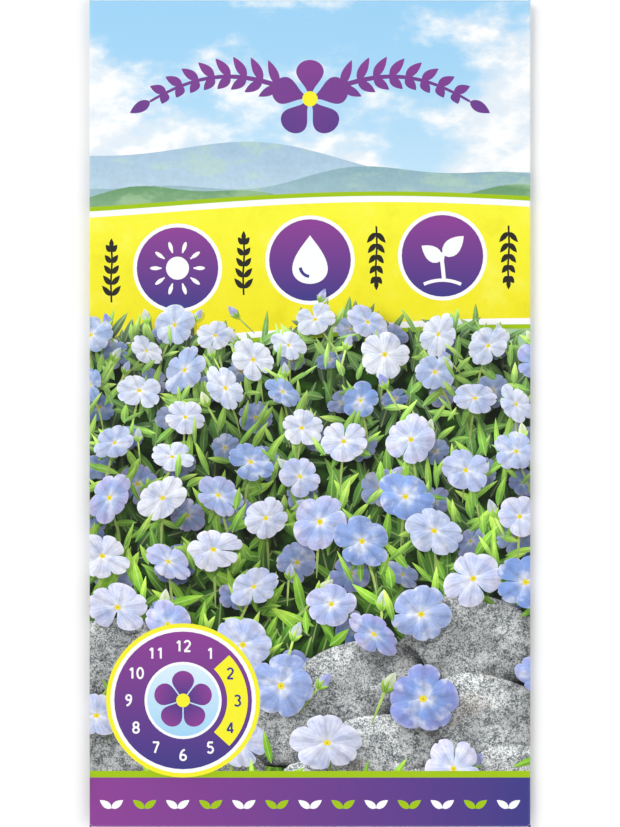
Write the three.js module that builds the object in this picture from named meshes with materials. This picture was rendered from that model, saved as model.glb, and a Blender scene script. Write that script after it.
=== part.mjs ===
// A folded and glued paper seed packet, lying on its back with its printed front up, in millimetres.
// +X runs across the packet's width, +Y up its height and +Z out of its printed front.
// The origin is under the packet's middle, on the surface that the packet lies on.

import * as THREE from 'three';
import { mergeVertices } from 'three/addons/utils/BufferGeometryUtils.js';

// Driving dimensions of the envelope
const PACKET_WIDTH = 80;
const PACKET_HEIGHT = 150;
const PAPER = 0.15;           // coated paper with its film
const FOLD_DEPTH = 0.35;      // how far a fold's mid line stands out past the panels
const RIM_OPENING = 0.6;      // between the mid surfaces of front and back along the rim
const LAP_STEP = 0.25;        // from one glued layer's mid surface to the next
const BACK_BELLY = 1.2;       // how far the middle of the back hangs below the rim
const FRONT_CROWN = 1.4;      // how far the middle of the front stands above the rim
const BELLY_RAMP_X = 0.48;    // share of the half width over which the back sinks to its flat middle
const BELLY_RAMP_Y = 0.38;    // the same along the height
const BACK_REACH = 78.5;      // the back panel, from the left fold to its free edge
const SIDE_TAB = 10;          // glued over the back's free edge
const BOTTOM_TAB = 12;        // glued up over the back
const TOP_FLAP = 18;          // glued down over the back once the packet is filled
const TAB_TAPER = 8;          // how far each end of the side tab slants in
const FLAP_TAPER = 3;         // the same for the bottom tab and the top flap
const CORNER_SQUARE = 0.7;    // flat paper left at each corner, where no fold reaches
const CORNER_SLIT = 0.15;     // die-cut slit between that square and the folds

// Driving dimensions of the inner sachet and the seeds in it
const SACHET_WIDTH = 36;
const SACHET_HEIGHT = 50;
const SACHET_CENTRE_Y = -16;
const WEB = 0.12;             // thickness of each glassine web
const SEAL = 5;               // width of the flat seal on all four sides
const SACHET_CROWN = 1.15;
const SEED_HEAP_LENGTH = 19;
const SEED_HEAP_WIDTH = 11;
const SEED_HEAP_HEIGHT = 0.5;
const SEED_HEAP_CENTRE_Y = -20;
const SEED_SIZE = 0.9;        // each seed as relief, larger than life

// Places that follow from them
const HALF_WIDTH = PACKET_WIDTH / 2;
const HALF_HEIGHT = PACKET_HEIGHT / 2;
const FLAT_X = HALF_WIDTH - FOLD_DEPTH - PAPER / 2;
const FLAT_Y = HALF_HEIGHT - FOLD_DEPTH - PAPER / 2;
const RIM_HEIGHT = PAPER / 2 + BACK_BELLY;
const FOLD_STEPS = 6;
const FOLD_LENGTH = 2 * (HALF_WIDTH - FLAT_X);
const SIDE_TAB_EDGE = FLAT_X - SIDE_TAB;
const LAP_RAMP = 3;           // over which a tab climbs onto the side tab

const CORNER_X = HALF_WIDTH - CORNER_SQUARE;
const CORNER_Y = HALF_HEIGHT - CORNER_SQUARE;
const FOLD_END_X = CORNER_X - CORNER_SLIT;
const FOLD_END_Y = CORNER_Y - CORNER_SLIT;

function smooth(value) {
  const t = THREE.MathUtils.clamp(value, 0, 1);
  return t * t * (3 - 2 * t);
}

// Values from start to end in equal steps, without the last one unless it is asked for.
function steps(start, end, count, withEnd = false) {
  const values = [];
  for (let i = 0; i < count + (withEnd ? 1 : 0); i++) values.push(start + (end - start) * i / count);
  return values;
}

// The back sinks from the rim to a flat middle, on which the packet rests.
function backHeight(x, y) {
  const across = smooth((1 - Math.abs(x) / HALF_WIDTH) / BELLY_RAMP_X);
  const along = smooth((1 - Math.abs(y) / HALF_HEIGHT) / BELLY_RAMP_Y);
  return RIM_HEIGHT - BACK_BELLY * across * along;
}

// The front rises from the rim in one low crown.
function frontHeight(x, y) {
  const across = (1 - (x / FLAT_X) ** 2) ** 2;
  const along = (1 - (y / FLAT_Y) ** 4) ** 2;
  return RIM_HEIGHT + RIM_OPENING + FRONT_CROWN * across * along;
}

// How many layers of paper lie between a tab and the inside of the back.
const LAYERS = {
  left: () => 0,
  right: () => 1,
  bottom: (x) => 1 + smooth((x - SIDE_TAB_EDGE) / LAP_RAMP + 1),
  top: (x) => 1 + smooth((x - SIDE_TAB_EDGE) / LAP_RAMP + 1),
};

// A point of a fold or of what is folded behind, by how far it lies past the flat front.
// It gives the distance in from the packet's fold line and the height.
function foldBehind(past, layers, underHeight) {
  const top = RIM_HEIGHT + RIM_OPENING;
  const bottom = RIM_HEIGHT - LAP_STEP * layers;
  if (past >= FOLD_LENGTH) return { inward: past - FOLD_LENGTH, height: underHeight(past - FOLD_LENGTH) };
  const turn = Math.PI * past / FOLD_LENGTH;
  return {
    inward: -FOLD_DEPTH * Math.sin(turn),
    height: (top + bottom) / 2 + (top - bottom) / 2 * Math.cos(turn),
  };
}

// The mid surface of the paper: s and w are places on the flat die-cut blank, which has the front panel
// in the middle, the back panel on its left, the side tab on its right and a tab above and below.
function paperMiddle(s, w) {
  const pastX = Math.abs(s) - FLAT_X;
  const pastY = Math.abs(w) - FLAT_Y;
  const foldsX = pastX > 0 && Math.abs(w) < FOLD_END_Y + CORNER_SLIT / 2;
  const foldsY = pastY > 0 && Math.abs(s) < FOLD_END_X + CORNER_SLIT / 2;
  if (foldsX) {
    const sign = Math.sign(s);
    const layers = LAYERS[s < 0 ? 'left' : 'right']();
    const taper = s > 0 ? 1 - TAB_TAPER / FOLD_END_Y * Math.max(0, pastX - FOLD_LENGTH) / SIDE_TAB : 1;
    const y = w * taper;
    const under = (inward) => backHeight(FLAT_X - inward, y) - LAP_STEP * layers;
    const { inward, height } = foldBehind(pastX, layers, under);
    return new THREE.Vector3(sign * (FLAT_X - inward), y, height);
  }
  if (foldsY) {
    const reach = w < 0 ? BOTTOM_TAB : TOP_FLAP;
    const x = s * (1 - FLAP_TAPER / FOLD_END_X * Math.max(0, pastY - FOLD_LENGTH) / reach);
    const layers = LAYERS[w < 0 ? 'bottom' : 'top'](x);
    const under = (inward) => backHeight(x, FLAT_Y - inward) - LAP_STEP * layers;
    const { inward, height } = foldBehind(pastY, layers, under);
    return new THREE.Vector3(x, Math.sign(w) * (FLAT_Y - inward), height);
  }
  if (pastX > 0 || pastY > 0) return new THREE.Vector3(s, w, RIM_HEIGHT + RIM_OPENING);
  return new THREE.Vector3(s, w, frontHeight(s, w));
}

// Whether a cell of the blank is paper: the slits and the waste beside the tabs are cut away.
function isPaper(s, w) {
  const x = Math.abs(s);
  const y = Math.abs(w);
  if (x < FLAT_X && y < FLAT_Y) return true;
  const inCorner = x > CORNER_X && y > CORNER_Y;
  if (inCorner) return x < HALF_WIDTH && y < HALF_HEIGHT;
  return x > FLAT_X ? y < FOLD_END_Y : x < FOLD_END_X;
}

// A closed solid from a mid surface: cells of a grid get an outer and an inner face, alike in their
// triangles, and each free edge gets a wall between them.
function thickSheet(columns, rows, middle, thickness, isKept = () => true) {
  const positions = [];
  const indices = [];
  const delta = 1e-4;
  const outer = (i, j) => 2 * (i * rows.length + j);
  const inner = (i, j) => outer(i, j) + 1;
  for (const s of columns) {
    for (const w of rows) {
      const along = middle(s + delta, w).sub(middle(s - delta, w));
      const up = middle(s, w + delta).sub(middle(s, w - delta));
      const normal = along.cross(up).normalize().multiplyScalar(thickness / 2);
      positions.push(...middle(s, w).add(normal).toArray(), ...middle(s, w).sub(normal).toArray());
    }
  }
  const kept = (i, j) => {
    if (i < 0 || j < 0 || i >= columns.length - 1 || j >= rows.length - 1) return false;
    return isKept((columns[i] + columns[i + 1]) / 2, (rows[j] + rows[j + 1]) / 2);
  };
  const quad = (a, b, c, d) => indices.push(a, b, c, a, c, d);
  for (let i = 0; i < columns.length - 1; i++) {
    for (let j = 0; j < rows.length - 1; j++) {
      if (!kept(i, j)) continue;
      quad(outer(i, j), outer(i + 1, j), outer(i + 1, j + 1), outer(i, j + 1));
      indices.push(inner(i, j), inner(i + 1, j + 1), inner(i + 1, j));
      indices.push(inner(i, j), inner(i, j + 1), inner(i + 1, j + 1));
      const wall = (i0, j0, i1, j1) => quad(inner(i0, j0), inner(i1, j1), outer(i1, j1), outer(i0, j0));
      if (!kept(i, j - 1)) wall(i, j, i + 1, j);
      if (!kept(i + 1, j)) wall(i + 1, j, i + 1, j + 1);
      if (!kept(i, j + 1)) wall(i + 1, j + 1, i, j + 1);
      if (!kept(i - 1, j)) wall(i, j + 1, i, j);
    }
  }
  return closedGeometry(positions, indices);
}

// A geometry that shares its vertices and holds only those that its faces use.
function closedGeometry(positions, indices) {
  const loose = new THREE.BufferGeometry();
  loose.setAttribute('position', new THREE.Float32BufferAttribute(positions, 3));
  loose.setIndex(indices);
  const geometry = mergeVertices(loose.toNonIndexed(), 1e-5);
  geometry.computeVertexNormals();
  return geometry;
}

// Grid lines of the blank. Those of the back repeat those of the tabs that are glued over it, so that the
// glued layers run alike.
function makeEnvelope() {
  const foldedX = FLAT_X + FOLD_LENGTH;
  const foldedY = FLAT_Y + FOLD_LENGTH;
  const backLaps = steps(2 * FLAT_X - SIDE_TAB / 3, 2 * FLAT_X - SIDE_TAB, 2).map((reach) => -foldedX - reach);
  const columns = [
    -foldedX - BACK_REACH,
    ...backLaps,
    ...steps(-foldedX - 2 * FLAT_X + SIDE_TAB, -foldedX, 14),
    ...steps(-foldedX, -FLAT_X, FOLD_STEPS),
    -FLAT_X,
    -CORNER_X,
    ...steps(-FOLD_END_X, FOLD_END_X, 16),
    FOLD_END_X,
    CORNER_X,
    ...steps(FLAT_X, foldedX, FOLD_STEPS),
    ...steps(foldedX, foldedX + SIDE_TAB, 3, true),
  ];
  const rows = [
    ...steps(-foldedY - BOTTOM_TAB, -foldedY, 3),
    ...steps(-foldedY, -FLAT_Y, FOLD_STEPS),
    -FLAT_Y,
    -CORNER_Y,
    -FOLD_END_Y,
    ...steps(BOTTOM_TAB / 3 - FLAT_Y, BOTTOM_TAB - FLAT_Y, 2),
    ...steps(BOTTOM_TAB - FLAT_Y, FLAT_Y - TOP_FLAP, 20),
    ...steps(FLAT_Y - TOP_FLAP, FLAT_Y, 4),
    FOLD_END_Y,
    CORNER_Y,
    ...steps(FLAT_Y, foldedY, FOLD_STEPS),
    ...steps(foldedY, foldedY + TOP_FLAP, 4, true),
  ];
  return thickSheet(columns, rows, paperMiddle, PAPER, isPaper);
}

// The height of the sachet's upper web above its seals: 0 on the four seals, a low pillow inside them.
function sachetPillow(x, y) {
  const u = Math.min(1, Math.abs(x) / (SACHET_WIDTH / 2 - SEAL));
  const v = Math.min(1, Math.abs(y) / (SACHET_HEIGHT / 2 - SEAL));
  return SACHET_CROWN * ((1 - u * u) * (1 - v * v)) ** 0.75;
}

// The outer edge of the seal, its inner edge, and even steps between.
function sachetLines(size, count) {
  const edge = size / 2;
  const inside = edge - SEAL;
  return [-edge, ...steps(-inside, inside, count, true), edge];
}

function makeLowerWeb() {
  const middle = (x, y) => new THREE.Vector3(x, y + SACHET_CENTRE_Y, PAPER + WEB / 2);
  return thickSheet(sachetLines(SACHET_WIDTH, 1), sachetLines(SACHET_HEIGHT, 1), middle, WEB);
}

function makeUpperWeb() {
  const seal = PAPER + WEB * 1.5;
  const middle = (x, y) => new THREE.Vector3(x, y + SACHET_CENTRE_Y, seal + sachetPillow(x, y));
  return thickSheet(sachetLines(SACHET_WIDTH, 12), sachetLines(SACHET_HEIGHT, 16), middle, WEB);
}

// A repeatable draw between 0 and 1.
function seededDraw(seed) {
  let state = seed;
  return () => {
    state = (state * 1664525 + 1013904223) % 4294967296;
    return state / 4294967296;
  };
}

// Places of the seeds that show on the heap's surface, on a jittered grid.
function seedPlaces() {
  const draw = seededDraw(7);
  const places = [];
  for (let x = -SEED_HEAP_WIDTH / 2; x <= SEED_HEAP_WIDTH / 2; x += SEED_SIZE) {
    for (let y = -SEED_HEAP_LENGTH / 2; y <= SEED_HEAP_LENGTH / 2; y += SEED_SIZE) {
      places.push([x + SEED_SIZE * (draw() - 0.5), y + SEED_SIZE * (draw() - 0.5)]);
    }
  }
  return places;
}

// The heap lies flat on the lower web and is one seed deep at its edge, with seeds as relief on top.
function makeSeedHeap() {
  const rings = 13;
  const sectors = 44;
  const base = PAPER + WEB;
  const places = seedPlaces();
  const seedRelief = (x, y) => {
    const nearest = Math.min(...places.map(([px, py]) => Math.hypot(x - px, y - py)));
    return SEED_SIZE / 3 * Math.sqrt(Math.max(0, 1 - (nearest / SEED_SIZE) ** 2));
  };
  const positions = [0, 0, base, 0, 0, base + SEED_HEAP_HEIGHT + seedRelief(0, 0)];
  const indices = [];
  const ringVertex = (ring, sector) => 2 + (ring - 1) * sectors + sector % sectors;
  for (let ring = 1; ring <= rings + 1; ring++) {
    const share = Math.min(1, ring / rings);
    for (let sector = 0; sector < sectors; sector++) {
      const angle = 2 * Math.PI * sector / sectors;
      const x = SEED_HEAP_WIDTH / 2 * share * Math.cos(angle);
      const y = SEED_HEAP_LENGTH / 2 * share * Math.sin(angle);
      const rise = ring > rings ? 0 : 0.15 + (SEED_HEAP_HEIGHT - 0.15) * (1 - share ** 2) + seedRelief(x, y);
      positions.push(x, y, base + rise);
    }
  }
  for (let sector = 0; sector < sectors; sector++) {
    indices.push(1, ringVertex(1, sector), ringVertex(1, sector + 1));
    indices.push(0, ringVertex(rings + 1, sector + 1), ringVertex(rings + 1, sector));
    for (let ring = 1; ring <= rings; ring++) {
      const near = ringVertex(ring, sector);
      const nearNext = ringVertex(ring, sector + 1);
      const far = ringVertex(ring + 1, sector);
      const farNext = ringVertex(ring + 1, sector + 1);
      indices.push(near, far, farNext, near, farNext, nearNext);
    }
  }
  return closedGeometry(positions, indices).translate(0, SEED_HEAP_CENTRE_Y, 0);
}

function addPiece(group, name, geometry, color, roughness) {
  const material = new THREE.MeshStandardMaterial({ color, roughness, metalness: 0 });
  const mesh = new THREE.Mesh(geometry, material);
  mesh.name = name;
  group.add(mesh);
}

const packet = new THREE.Group();
addPiece(packet, 'envelope', makeEnvelope(), 0xa9d3ea, 0.38);
addPiece(packet, 'sachet_lower_web', makeLowerWeb(), 0xe9e6da, 0.45);
addPiece(packet, 'sachet_upper_web', makeUpperWeb(), 0xe9e6da, 0.45);
addPiece(packet, 'seeds', makeSeedHeap(), 0x5a3a22, 0.6);

export default packet;
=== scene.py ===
# A paper seed packet lying on its back, printed front up, with an inner sachet of seed.
import math
import random
from dataclasses import dataclass

import bmesh
import bpy
import numpy as np
from mathutils import Euler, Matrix, Vector, bvhtree, geometry


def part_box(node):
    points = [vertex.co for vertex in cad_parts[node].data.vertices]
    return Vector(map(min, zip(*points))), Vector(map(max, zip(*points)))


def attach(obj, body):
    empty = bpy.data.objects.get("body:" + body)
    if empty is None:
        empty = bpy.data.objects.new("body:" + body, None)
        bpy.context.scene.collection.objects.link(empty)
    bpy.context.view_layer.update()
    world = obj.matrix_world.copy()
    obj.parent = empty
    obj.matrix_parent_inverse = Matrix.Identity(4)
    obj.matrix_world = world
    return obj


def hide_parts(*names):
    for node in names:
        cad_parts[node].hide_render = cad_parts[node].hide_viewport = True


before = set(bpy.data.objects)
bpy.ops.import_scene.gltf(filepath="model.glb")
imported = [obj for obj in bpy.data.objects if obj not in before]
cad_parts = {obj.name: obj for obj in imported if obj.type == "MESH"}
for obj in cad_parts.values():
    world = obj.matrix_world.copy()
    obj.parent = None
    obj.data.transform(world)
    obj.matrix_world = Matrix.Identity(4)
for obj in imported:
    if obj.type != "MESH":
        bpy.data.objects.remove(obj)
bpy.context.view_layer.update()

# Lengths are in millimetres up to the point where a mesh is made.
MM = 0.001
_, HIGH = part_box("envelope")
HALF_WIDTH = HIGH[0] / MM
HALF_HEIGHT = HIGH[1] / MM

# The folded envelope, as in the part's source
PAPER = 0.15
FOLD_DEPTH = 0.35
RIM_OPENING = 0.6
LAP_STEP = 0.25
BACK_BELLY = 1.2
FRONT_CROWN = 1.4
BELLY_RAMP_X = 0.48
BELLY_RAMP_Y = 0.38
BACK_REACH = 78.5
SIDE_TAB = 10
BOTTOM_TAB = 12
TOP_FLAP = 18
TAB_TAPER = 8
FLAP_TAPER = 3
CORNER_SQUARE = 0.45          # a little smaller than the part's, with finer slits beside it
CORNER_SLIT = 0.03
LAP_RAMP = 3

FLAT_X = HALF_WIDTH - FOLD_DEPTH - PAPER / 2
FLAT_Y = HALF_HEIGHT - FOLD_DEPTH - PAPER / 2
RIM_HEIGHT = PAPER / 2 + BACK_BELLY
FOLD_LENGTH = 2 * (HALF_WIDTH - FLAT_X)
FOLDED_X = FLAT_X + FOLD_LENGTH
FOLDED_Y = FLAT_Y + FOLD_LENGTH
CORNER_X = HALF_WIDTH - CORNER_SQUARE
CORNER_Y = HALF_HEIGHT - CORNER_SQUARE
FOLD_END_X = CORNER_X - CORNER_SLIT
FOLD_END_Y = CORNER_Y - CORNER_SLIT
FOLD_STEPS = 8                # round each fold, a few more than the part has
RIPPLE = 0.15                 # amplitude of the faint waves in the front's paper

# The inner sachet and its seed, as in the part's source
SACHET_CENTRE_Y = -16
SACHET_HALF = (18, 25)
SEAL = 5
WEB = 0.12
SACHET_CROWN = 1.15
RIB_PITCH = 1.5               # of the pressed ribs along the seals, which the part leaves flat
RIB_HEIGHT = 0.05
ZIGZAG_PITCH = 1.5            # of the cut along the sachet's ends
HEAP_CENTRE_Y = -20
HEAP_HALF = (5.5, 9.5)
HEAP_HEIGHT = 0.5
SEED_HALF = (0.27, 0.18, 0.16)

# The printed layout, on the front with +Y up
BLEED = 1.2                   # how far the front's print runs on past the folds
PAST_X = HALF_WIDTH + 5       # the ends of its broad shapes, which the back's print covers
PAST_Y = HALF_HEIGHT + 5
FOOTER_TOP = -66
BED_TOP = 16
BAND_MIDDLE = 26
BAND_HALF = 10.5
BADGE_RADIUS = 7.4
HAIRLINE = 0.7                # the white line round a badge or a dial
DIAL = (-23, -52, 12.5)       # x, y and radius
SOWING_MONTHS = (2, 3, 4)
FLOWERING_MONTHS = (6, 7, 8, 9)
SUNLIGHT = np.array([-0.55, 0.8])
HARD_SHADE = 0.72             # the light that one hard shadow leaves

GRID_FRONT = 1.25             # spacing of the mesh where the print is
GRID_BACK = 2.5
GRID_INSIDE = 4
LONGEST_EDGE = 2.5
FOLD_SUPPORT = 0.15           # how far beside a fold its outermost line of vertices runs


def srgb(code, strength=0.93):
    """Linear colour of a printed ink, from its hex code. Printed white is a little darker than white."""
    channels = [int(code[i:i + 2], 16) / 255 for i in (0, 2, 4)]
    return tuple(strength * (c / 12.92 if c < 0.04045 else ((c + 0.055) / 1.055) ** 2.4) for c in channels)


WHITE = srgb("FBFCFC")
YELLOW = srgb("F8F234")
LIME = srgb("A3C614")
VIOLET = srgb("8F4496")
INDIGO = srgb("403E88")
NAVY = srgb("2A2253")
SOFT_BLACK = srgb("2B2A24")


def smooth(value):
    t = np.clip(value, 0, 1)
    return t * t * (3 - 2 * t)


def unit(vectors):
    """The vectors along axis 1, each made 1 long."""
    return vectors / np.linalg.norm(vectors, axis=1, keepdims=True)


def back_height(x, y):
    across = smooth((1 - np.abs(x) / HALF_WIDTH) / BELLY_RAMP_X)
    along = smooth((1 - np.abs(y) / HALF_HEIGHT) / BELLY_RAMP_Y)
    return RIM_HEIGHT - BACK_BELLY * across * along


def front_height(x, y):
    """The crown of the part's source, with faint dips where the paper isn't quite flat."""
    inside = np.clip(1 - (x / FLAT_X) ** 2, 0, 1) ** 2 * np.clip(1 - (y / FLAT_Y) ** 4, 0, 1) ** 2
    wave = np.sin(x / 9 + np.sin(y / 17)) * np.sin(y / 13 + 0.7 * np.sin(x / 11))
    return RIM_HEIGHT + RIM_OPENING + FRONT_CROWN * inside - RIPPLE * inside * (1 + wave)


def fold_behind(past, layers, under_height):
    """Distance in from the fold line, and height, by how far a point lies past the flat front."""
    top = RIM_HEIGHT + RIM_OPENING
    bottom = RIM_HEIGHT - LAP_STEP * layers
    turn = math.pi * np.minimum(past, FOLD_LENGTH) / FOLD_LENGTH
    behind = past >= FOLD_LENGTH
    inward = np.where(behind, past - FOLD_LENGTH, -FOLD_DEPTH * np.sin(turn))
    round_the_nose = (top + bottom) / 2 + (top - bottom) / 2 * np.cos(turn)
    return inward, np.where(behind, under_height(inward), round_the_nose)


def paper_middle(s, w):
    """The paper's mid surface for places s, w on the flat blank: arrays of x, y and z."""
    past_x = np.abs(s) - FLAT_X
    past_y = np.abs(w) - FLAT_Y
    folds_x = (past_x > 0) & (np.abs(w) < FOLD_END_Y + CORNER_SLIT / 2)
    folds_y = (past_y > 0) & (np.abs(s) < FOLD_END_X + CORNER_SLIT / 2)

    beyond_x = np.maximum(0, past_x - FOLD_LENGTH)
    beyond_y = np.maximum(0, past_y - FOLD_LENGTH)
    tab_y = w * np.where(s > 0, 1 - TAB_TAPER / FOLD_END_Y * beyond_x / SIDE_TAB, 1)
    reach = np.where(w < 0, BOTTOM_TAB, TOP_FLAP)
    flap_x = s * (1 - FLAP_TAPER / FOLD_END_X * beyond_y / reach)

    side_layers = np.where(s > 0, 1, 0)
    end_layers = 1 + smooth((flap_x - FLAT_X + SIDE_TAB) / LAP_RAMP + 1)
    in_x, height_x = fold_behind(
        past_x, side_layers, lambda inward: back_height(FLAT_X - inward, tab_y) - LAP_STEP * side_layers
    )
    in_y, height_y = fold_behind(
        past_y, end_layers, lambda inward: back_height(flap_x, FLAT_Y - inward) - LAP_STEP * end_layers
    )
    x = np.where(folds_x, np.sign(s) * (FLAT_X - in_x), np.where(folds_y, flap_x, s))
    y = np.where(folds_x, tab_y, np.where(folds_y, np.sign(w) * (FLAT_Y - in_y), w))
    z = np.where(folds_x, height_x, np.where(folds_y, height_y, front_height(s, w)))
    return np.stack([x, y, z], axis=-1)


def paper_normals(s, w):
    step = 1e-4
    along = paper_middle(s + step, w) - paper_middle(s - step, w)
    up = paper_middle(s, w + step) - paper_middle(s, w - step)
    return unit(np.cross(along, up))


def blank_outline():
    """The die-cut blank, counter-clockwise from the bottom tab's left corner, with its corner slits."""
    right_bottom = [
        (FOLD_END_X, -FOLDED_Y - BOTTOM_TAB), (FOLD_END_X, -FLAT_Y), (CORNER_X, -FLAT_Y),
        (CORNER_X, -HALF_HEIGHT), (HALF_WIDTH, -HALF_HEIGHT), (HALF_WIDTH, -CORNER_Y),
        (FLAT_X, -CORNER_Y), (FLAT_X, -FOLD_END_Y), (FOLDED_X + SIDE_TAB, -FOLD_END_Y),
    ]
    right_top = [(s, -w) for s, w in reversed(right_bottom)]
    right_top[-1] = (FOLD_END_X, FOLDED_Y + TOP_FLAP)
    left_top = [(-s, w) for s, w in reversed(right_top)]
    left_top[-1] = (-FOLDED_X - BACK_REACH, FOLD_END_Y)
    left_bottom = [(s, -w) for s, w in reversed(left_top)]
    left_bottom[-1] = (-FOLD_END_X, -FOLDED_Y - BOTTOM_TAB)
    return right_bottom + right_top + left_top + left_bottom


# Outlines of the print's motifs in their own u, v: u from 0 to 1 along them, v from -1 to 1 across

def mirrored(us, widths):
    """A closed outline from half widths along the middle line."""
    lower = [(u, -h) for u, h in zip(us, widths)]
    upper = [(u, h) for u, h in zip(us, widths) if h > 0]
    return np.array(lower + upper[::-1])


def lobe_outline(claw=0.14, widest=0.66, steps=8, claw_steps=4):
    """A petal lobe: a narrow claw that widens to a round tip."""
    us = [widest * i / claw_steps for i in range(claw_steps)]
    widths = [claw + (1 - claw) * float(smooth(u / widest)) for u in us]
    for i in range(steps + 1):
        turn = math.pi / 2 * i / steps
        us.append(widest + (1 - widest) * math.sin(turn))
        widths.append(math.cos(turn) if i < steps else 0)
    return mirrored(us, widths)


def leaf_outline(steps=7):
    us = [i / steps for i in range(steps + 1)]
    widths = [math.sin(math.pi * u ** 0.8) ** 0.85 if 0 < u < 1 else 0 for u in us]
    return mirrored(us, widths)


def oval_outline(steps=20):
    turns = [2 * math.pi * i / steps for i in range(steps)]
    return np.array([((1 + math.cos(t)) / 2, math.sin(t)) for t in turns])


def notched_outline():
    """A broad petal whose round tip has a small notch."""
    outline = lobe_outline(claw=0.2, widest=0.68)
    outline[outline[:, 0] == 1, 0] = 0.93
    return outline


def drop_outline(steps=22):
    """A water drop with its point at u = 1."""
    turns = [math.pi * i / steps for i in range(steps + 1)]
    us = [(1 - math.cos(t)) / 2 for t in turns]
    widths = [math.sin(t) * (1 - u) ** 0.6 * 1.4 for t, u in zip(turns, us)]
    widths[0] = widths[-1] = 0
    return mirrored(us, widths)


def stone_outline(draw, steps=26):
    """A rounded cobble: a superellipse with a slightly uneven rim."""
    phases = [draw.uniform(0, 6.28) for _ in range(3)]
    points = []
    for i in range(steps):
        turn = 2 * math.pi * i / steps
        x, y = math.cos(turn), math.sin(turn)
        radius = (abs(x) ** 2.6 + abs(y) ** 2.6) ** (-1 / 2.6)
        radius *= 1 + sum(0.035 * math.sin((k + 2) * turn + phase) for k, phase in enumerate(phases))
        points.append(((1 + radius * x) / 2, radius * y))
    return np.array(points)


LOBE = lobe_outline()
NARROW_LOBE = lobe_outline(claw=0.35, widest=0.5, steps=4)
LARGE_LOBE = lobe_outline(steps=14, claw_steps=9)
LEAF = leaf_outline()
LARGE_LEAF = leaf_outline(14)
OVAL = oval_outline()
SMALL_OVAL = oval_outline(8)
BADGE_OVAL = oval_outline(40)
DIAL_OVAL = oval_outline(48)
DROP = drop_outline()
NOTCHED = notched_outline()
BUD = leaf_outline(9)


def stroke_outline(points, half_widths):
    """The outline of a line drawn along points, with a half width at each."""
    points = np.array(points, float)
    ways = unit(np.gradient(points, axis=0))
    sides = np.stack([-ways[:, 1], ways[:, 0]], axis=1) * np.broadcast_to(half_widths, len(points))[:, None]
    return np.concatenate([points - sides, (points + sides)[::-1]])


def arc(x, y, rx, ry, start, end, steps=10):
    """Points of an elliptic arc, by angles in degrees."""
    turns = np.radians(np.linspace(start, end, steps + 1))
    return [(x + rx * math.cos(t), y + ry * math.sin(t)) for t in turns]


def rectangle(left, low, right, high):
    return [(left, low), (right, low), (right, high), (left, high)]


def square(x, y, half):
    return rectangle(x - half, y - half, x + half, y + half)


def subdivided(points):
    """The same closed outline with no edge longer than the paper's curves allow."""
    ends = np.roll(points, -1, axis=0)
    counts = np.ceil(np.linalg.norm(ends - points, axis=1) / LONGEST_EDGE).astype(int)
    return np.concatenate([
        start + (end - start) * np.arange(count)[:, None] / count
        for start, end, count in zip(points, ends, counts) if count
    ])


@dataclass
class Shape:
    kind: str
    outline: np.ndarray
    origin: np.ndarray
    along: np.ndarray
    across: np.ndarray
    bend: float
    tint: tuple
    tip: tuple
    draw: float


class Art:
    """Printed shapes in painting order: a later one lies on the earlier ones."""

    def __init__(self):
        self.shapes = []
        self.soft_shadows = []

    def outline(
        self, kind, points, tint, tip=None, origin=(0, 0), along=(1, 0), across=None, bend=0.0, draw=0.5
    ):
        """A filled outline with its own axes; across stands square to along unless it is given."""
        across = (-along[1], along[0]) if across is None else across
        points = np.array(points, float)
        x, y = points.T
        area = np.sum(x * np.roll(y, -1) - y * np.roll(x, -1))
        points = subdivided(points if area > 0 else points[::-1])
        place = [np.array(value, float) for value in (origin, along, across)]
        self.shapes.append(Shape(kind, points, *place, bend, tint, tip or tint, draw))

    def soft_shadow(self, x, y, radius, strength):
        """A soft round shadow on every shape added before it."""
        self.soft_shadows.append((len(self.shapes), x, y, radius, strength))


class Pen:
    """Draws motifs in a frame of its own: turned, sized and foreshortened on the print."""

    def __init__(self, art, x, y, turn=0.0, size=1.0, squash=1.0):
        self.art = art
        self.origin = np.array([x, y], float)
        turned = np.array([[math.cos(turn), -math.sin(turn)], [math.sin(turn), math.cos(turn)]])
        self.matrix = turned @ np.diag([size, size * squash])

    def motif(
        self, kind, outline, x, y, turn, length, width, tint, tip=None, bend=0.0, draw=0.5, shift=(0, 0)
    ):
        """A motif from x, y towards turn, with its half width; shift moves it on the print itself."""
        origin = self.origin + self.matrix @ np.array([x, y], float) + np.array(shift)
        along = self.matrix @ np.array([math.cos(turn), math.sin(turn)]) * length
        across = self.matrix @ np.array([-math.sin(turn), math.cos(turn)]) * width
        u, v = outline.T
        points = origin + u[:, None] * along + (v + bend * u * u)[:, None] * across
        self.art.outline(kind, points, tint, tip, origin, along, across, bend, draw)

    def disc(self, radius, tint, tip=None, outline=OVAL):
        """A disc about the pen's place, from tint at its top to tip at its foot."""
        self.motif("ink", outline, 0, radius, -math.pi / 2, 2 * radius, radius, tint, tip)

    def stroke(self, kind, points, half_widths, tint, tip=None):
        """A line along points, from tint at its start to tip at its end."""
        placed = [self.origin + self.matrix @ np.array(p, float) for p in points]
        self.art.outline(
            kind, stroke_outline(placed, half_widths), tint, tip, placed[0], placed[-1] - placed[0]
        )


def mixed(a, b, share):
    return tuple(p + (q - p) * share for p, q in zip(a, b))


def drawn_ink(draw, first, last):
    """A colour at random between two inks, from their hex codes."""
    return mixed(srgb(first), srgb(last), draw.random())


def scattered(draw, low, high, spacing, tries, accept):
    """Random places at least spacing(y) apart, from a seeded draw."""
    places = []
    for _ in range(tries):
        x, y = draw.uniform(low[0], high[0]), draw.uniform(low[1], high[1])
        if accept(x, y) and all((x - a) ** 2 + (y - b) ** 2 > spacing(y) ** 2 for a, b in places):
            places.append((x, y))
    return places


def bed_edge(x):
    """The height of the flower bed's upper edge."""
    return BED_TOP + 1.6 * math.sin(x / 9) + 1.1 * math.sin(x / 4.1 + 1)


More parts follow.
